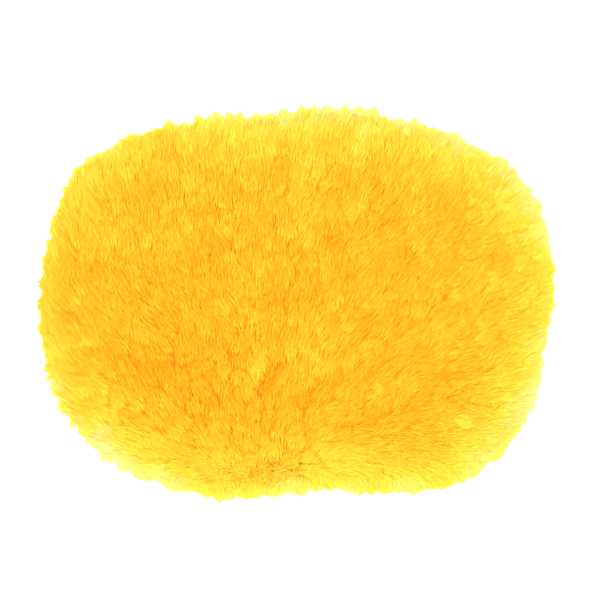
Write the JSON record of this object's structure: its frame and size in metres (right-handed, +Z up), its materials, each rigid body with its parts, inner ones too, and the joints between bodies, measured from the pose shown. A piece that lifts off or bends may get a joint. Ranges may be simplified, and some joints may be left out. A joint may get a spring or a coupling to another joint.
{
  "type": "wash mitt",
  "caption": "Plush pile wash mitt with a rounded outline, a padded palm, a lined hand pocket and an elastic cuff hidden under the pile.",
  "frame": {"origin": "middle of the flat the mitt lies on, under the centre of its outline", "axes": "+X along the mitt from the closed end to the mouth, +Z up out of the palm side's pile"},
  "size_m": [0.268, 0.204, 0.0716],
  "materials": {
    "pile": "deep plush pile",
    "backing_cloth": "knitted backing",
    "lining_cloth": "plain woven",
    "wadding": "open foam",
    "knit": "ribbed knit",
    "elastic": "woven elastic",
    "thread": "spun thread",
    "webbing": "woven tape",
    "label_cloth": "satin tape, blank"
  },
  "bodies": {
    "back_half": {"back_pile": "pile", "back_backing": "backing_cloth", "back_lining": "lining_cloth", "seam_allowance": "backing_cloth", "seam_thread": "thread", "mouth_facing": "backing_cloth", "cuff": "knit", "cuff_elastic": "elastic", "cuff_stitching": "thread", "loop_bartack": "thread", "label_stitching": "thread"},
    "front_half": {"front_pile": "pile", "front_backing": "backing_cloth", "palm_wadding": "wadding", "front_lining": "lining_cloth"},
    "hang_loop": {"hang_loop": "webbing"},
    "care_label": {"care_label": "label_cloth"}
  },
  "joints": [
    {"name": "mouth_open", "type": "hinge", "parent": "back_half", "child": "front_half", "pos_m": [-0.115, 0, 0.0309], "axis": [0, -1, 0], "range_deg": [0, 5], "deforming": ["cuff", "cuff_elastic", "cuff_stitching", "mouth_facing"]},
    {"name": "loop_swing", "type": "hinge", "parent": "back_half", "child": "hang_loop", "pos_m": [0.1228, 0.0445, 0.0309], "axis": [0, 0, 1], "range_deg": [0, 180]},
    {"name": "label_flip", "type": "hinge", "parent": "back_half", "child": "care_label", "pos_m": [0.058, -0.021, 0.0189], "axis": [0, -1, 0], "range_deg": [0, 110]}
  ]
}
